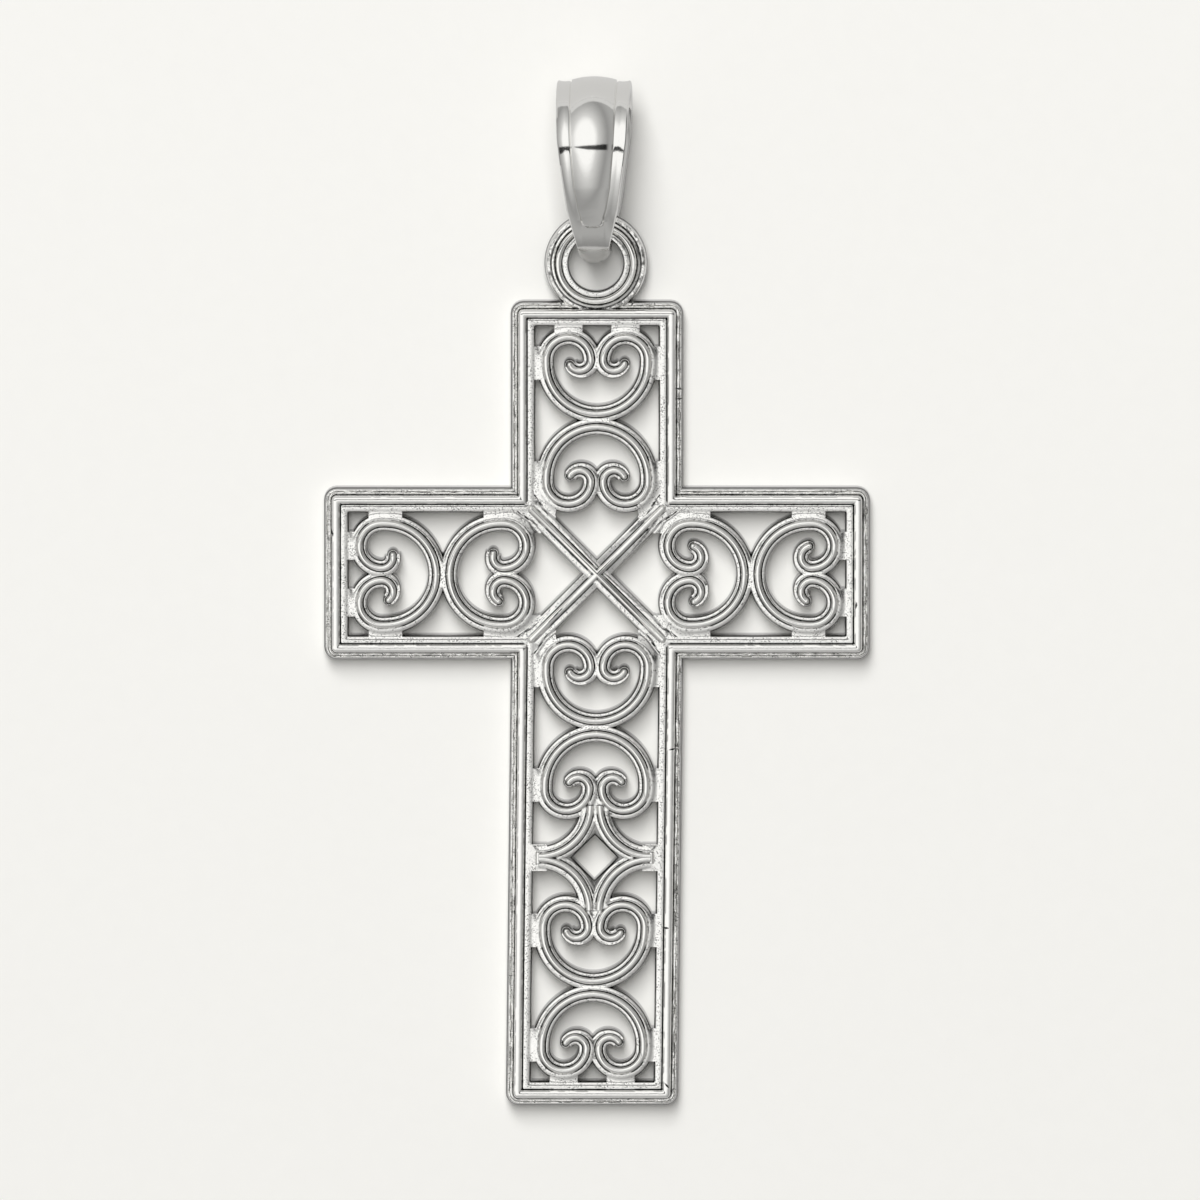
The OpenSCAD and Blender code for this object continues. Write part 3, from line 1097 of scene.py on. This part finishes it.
def cast_gold():
    """Bright metal with painted shade in its creases and along its rounded edges, and fine pits below its
    polished tops.
    """
    material, tree, shader = metal("white_gold_cast")
    pits, place = skin(tree, PIT_CUT)
    split = new_node(tree, "ShaderNodeSeparateXYZ")
    tree.links.new(place, split.inputs[0])
    height = split.outputs["Z"]
    polish = between(tree, height, *POLISHED_TOPS)

    # Painted shade: an occlusion node darkens the colour in narrow creases, where shade falls, on the upper
    # relief only
    hollows = new_node(tree, "ShaderNodeAmbientOcclusion", samples=8, only_local=True)
    hollows.inputs["Distance"].default_value = CREASE_MM * MM
    uneven = calc(tree, "MULTIPLY_ADD", pits.outputs["Waves"], UNEVEN, -UNEVEN / 2)
    openness = calc(tree, "ADD", hollows.outputs["AO"], uneven)
    high = between(tree, height, *HIGH_METAL)
    low_metal_shade_lift = calc(tree, "MULTIPLY_ADD", high, -LOW_METAL_SHADE_LIFT, LOW_METAL_SHADE_LIFT)
    outside_crease_shade = remap(tree, calc(tree, "ADD", openness, low_metal_shade_lift), *CREASES_DARK_TO)
    dull = calc(tree, "SUBTRACT", between(tree, height, *PITTED), polish)
    pit_mask = calc(tree, "MULTIPLY", pits.outputs["Pits"], dull)
    clear = calc(tree, "MULTIPLY_ADD", pit_mask, -PIT_DARK, 1)
    # Painted shade along the rounded edges: the colour is darkened in each band of height
    for heights, dark in ((FLANGE_EDGE, FLANGE_EDGE_DARK), (RIM_EDGE, RIM_EDGE_DARK)):
        edge = band(tree, height, *heights)
        clear = calc(tree, "MULTIPLY", clear, calc(tree, "MULTIPLY_ADD", edge, -dark, 1))
    colour = mix_colours(tree, calc(tree, "MULTIPLY", outside_crease_shade, clear), PAINTED_SHADE_AND_PIT_DARK, WHITE_GOLD)
    tree.links.new(colour, shader.inputs["Base Color"])

    rough = calc(tree, "MULTIPLY_ADD", pits.outputs["Waves"], CAST_ROUGH_WAVES, CAST_ROUGH)
    tree.links.new(calc(tree, "MULTIPLY_ADD", polish, -TOPS_SMOOTHER, rough), shader.inputs["Roughness"])
    relief = calc(tree, "MULTIPLY_ADD", pit_mask, -PIT_DEPTH, pits.outputs["Waves"])
    add_bump(tree, shader, relief, CAST_BUMP, CAST_BUMP_MM)
    return material


cross.data.materials.append(cast_gold())


# %% Polished white gold
BRIGHT = (0.93, 0.925, 0.905)
PIT_GREY = (0.6, 0.6, 0.59)
FEW_PITS = 0.93
BAIL_ROUGH = 0.05
BAIL_ROUGH_WAVES = 0.06
WORN_ROUGHER = 0.3
BAIL_BUMP = 0.25
BAIL_BUMP_MM = 0.004

# The wear comes in between these two places along the upright
WORN_FROM = 9.75
WORN_TO = 9.5


def polished_gold():
    """Smooth metal with very few pits, a little worn where it rubs in the ring."""
    material, tree, shader = metal("white_gold_polished")
    pits, place = skin(tree, FEW_PITS)
    colour = mix_colours(tree, pits.outputs["Pits"], BRIGHT, PIT_GREY)
    tree.links.new(colour, shader.inputs["Base Color"])
    split = new_node(tree, "ShaderNodeSeparateXYZ")
    tree.links.new(place, split.inputs[0])
    worn = remap(tree, split.outputs["Y"], WORN_FROM * MM, WORN_TO * MM)
    rough = calc(tree, "MULTIPLY_ADD", pits.outputs["Waves"], BAIL_ROUGH_WAVES, BAIL_ROUGH)
    rough = calc(tree, "MULTIPLY_ADD", worn, WORN_ROUGHER, rough)
    tree.links.new(rough, shader.inputs["Roughness"])
    add_bump(tree, shader, pits.outputs["Waves"], BAIL_BUMP, BAIL_BUMP_MM)
    return material


bail.data.materials.append(polished_gold())

# %% [markdown]
# ## The floor
# The charm was photographed on plain pale paper. The floor is a large plane just under the charm.

# %% Floor
FLOOR_SIZE = 3
FLOOR_DROP = 0.02
PAPER = ((0.9, 0.892, 0.86), (0.92, 0.912, 0.88))
FIBRE_MM = 0.6

# The colour of the paper as the metal mirrors it, darker than the camera sees it
FLOOR_IN_METAL = (0.61, 0.605, 0.597)


def paper_floor():
    bm = bmesh.new()
    bmesh.ops.create_grid(bm, x_segments=1, y_segments=1, size=FLOOR_SIZE / 2)
    bmesh.ops.translate(bm, vec=(0, 0, -FLOOR_DROP * MM), verts=bm.verts)
    mesh = bpy.data.meshes.new("floor")
    bm.to_mesh(mesh)
    bm.free()
    made = bpy.data.objects.new("floor", mesh)
    bpy.context.collection.objects.link(made)
    material = bpy.data.materials.new("white_paper")
    material.use_nodes = True
    tree = material.node_tree
    shader = tree.nodes["Principled BSDF"]
    place = new_node(tree, "ShaderNodeTexCoord")
    fibres = fine_noise(tree, place.outputs["Object"], FIBRE_MM, 3)
    shade = mix_colours(tree, fibres, *PAPER)
    path = new_node(tree, "ShaderNodeLightPath")
    seen = mix_colours(tree, path.outputs["Is Glossy Ray"], shade, FLOOR_IN_METAL)
    tree.links.new(seen, shader.inputs["Base Color"])
    shader.inputs["Roughness"].default_value = 0.9
    shader.inputs["Specular IOR Level"].default_value = 0.1
    mesh.materials.append(material)
    return made


floor = paper_floor()

# %% [markdown]
# ## Studio light
# Metal shows what stands round it. Here that is a white tent: brightest a little to the upper left of
# overhead, darker all round it, with a dark slot where the lens looks in. The world is drawn by direction.
# A long soft lamp, high up beyond the ring, gives the shadows in the piercing, and isn't reflected itself.

# %% World
BRIGHTEST = Vector((-0.33, 0.26, 0.907))
BRIGHTEST_X = -0.34
NARROWER_ACROSS = 0.25

# How bright the tent is (0 to 1) at each distance from its brightest spot (0 there, 2 opposite)
TENT = [
    (0, 1.03), (0.13, 1.02), (0.174, 0.9), (0.242, 0.68), (0.32, 0.58), (0.41, 0.49), (0.51, 0.41),
    (0.62, 0.33), (0.68, 0.31), (0.92, 0.4), (1.05, 0.4), (1.3, 0.22), (2, 0.15),
]
FILL = 0.42
FAR_PAPER = 0.66
FAR_PAPER_TOP = (0.15, 0.13)
FAR_PAPER_FROM = (0.5, 0.7)

# The dark slot, measured on a plane one unit above the charm
SLOT_UP = 0.075
SLOT_SLANT = 0.045
SLOT_HALF = (0.085, 0.055)
SLOT_LEFT = 0.2
SLOT_HALF_LENGTH = (1.1, 0.85)
SLOT_DARK = 0.95
LEAST_Z = 0.05


def tent_world():
    world = bpy.data.worlds.new("light_tent")
    world.use_nodes = True
    # Aiming light rays at the tent costs time and gains little, because it is broad and smooth
    world.cycles.sampling_method = "NONE"
    tree = world.node_tree
    place = new_node(tree, "ShaderNodeTexCoord")
    split = new_node(tree, "ShaderNodeSeparateXYZ")
    tree.links.new(place.outputs["Generated"], split.inputs[0])
    x, y, z = split.outputs
    towards = new_node(tree, "ShaderNodeVectorMath", operation="DOT_PRODUCT")
    tree.links.new(place.outputs["Generated"], towards.inputs[0])
    towards.inputs[1].default_value = BRIGHTEST
    aside = calc(tree, "POWER", calc(tree, "SUBTRACT", x, BRIGHTEST_X), 2)
    distance = calc(tree, "SUBTRACT", 1, towards.outputs["Value"])
    distance = calc(tree, "MULTIPLY_ADD", aside, NARROWER_ACROSS, distance)
    half_distance = calc(tree, "MULTIPLY", distance, 0.5)
    curve = new_node(tree, "ShaderNodeFloatCurve")
    points = curve.mapping.curves[0].points
    while len(points) < len(TENT):
        points.new(0.5, 0.5)
    for point, (where, level) in zip(points, TENT):
        point.location = (where / 2, level / 2)
        point.handle_type = "VECTOR"
    curve.mapping.update()
    tree.links.new(half_distance, curve.inputs["Value"])
    level = calc(tree, "MULTIPLY", curve.outputs[0], 2)
    far = calc(tree, "MULTIPLY", remap(tree, z, *FAR_PAPER_TOP), remap(tree, y, *FAR_PAPER_FROM))
    level = calc(tree, "MULTIPLY_ADD", calc(tree, "SUBTRACT", FAR_PAPER, level), far, level)

    upward = calc(tree, "MAXIMUM", z, LEAST_Z)
    forward = calc(tree, "DIVIDE", y, upward)
    across = calc(tree, "DIVIDE", x, upward)
    near = calc(tree, "ABSOLUTE", calc(tree, "SUBTRACT", forward, SLOT_UP))
    near = calc(tree, "MULTIPLY_ADD", across, -SLOT_SLANT, near)
    in_slot = remap(tree, near, *SLOT_HALF)
    beside = calc(tree, "ABSOLUTE", calc(tree, "ADD", across, SLOT_LEFT))
    in_length = remap(tree, beside, *SLOT_HALF_LENGTH)
    slot = calc(tree, "MULTIPLY", in_slot, in_length)
    level = calc(tree, "MULTIPLY", level, calc(tree, "MULTIPLY_ADD", slot, -SLOT_DARK, 1))

    path = new_node(tree, "ShaderNodeLightPath")
    dimmed = calc(tree, "MULTIPLY_ADD", path.outputs["Is Diffuse Ray"], FILL - 1, 1)
    level = calc(tree, "MULTIPLY", level, dimmed)
    sky = tree.nodes["Background"]
    sky.inputs["Color"].default_value = (1, 0.995, 0.98, 1)
    tree.links.new(level, sky.inputs["Strength"])
    return world


bpy.context.scene.world = tent_world()
bpy.context.scene.view_settings.view_transform = "Standard"

# %% Lamp
LAMP_FROM = Vector((-0.09, 0.42, 1))
LAMP_DISTANCE = 0.6

lamp_data = bpy.data.lights.new("soft_lamp", "AREA")
lamp_data.shape = "RECTANGLE"
lamp_data.size = 0.2
lamp_data.size_y = 0.46
lamp_data.energy = 3.3
lamp = bpy.data.objects.new("soft_lamp", lamp_data)
lamp.location = LAMP_FROM.normalized() * LAMP_DISTANCE
lamp.rotation_euler = LAMP_FROM.to_track_quat("Z", "Y").to_euler()
lamp.visible_glossy = False
lamp.visible_camera = False
bpy.context.collection.objects.link(lamp)

# %% [markdown]
# ## Handing the pieces over
# Each new piece rides on the imported model's body and takes the place of its plain node.

# %% Ride and replace
for piece, node, finish in ((cross, "cross_plate", "cast_metal"), (bail, "bail", "polished_metal")):
    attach(piece, "root")
    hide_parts(node)
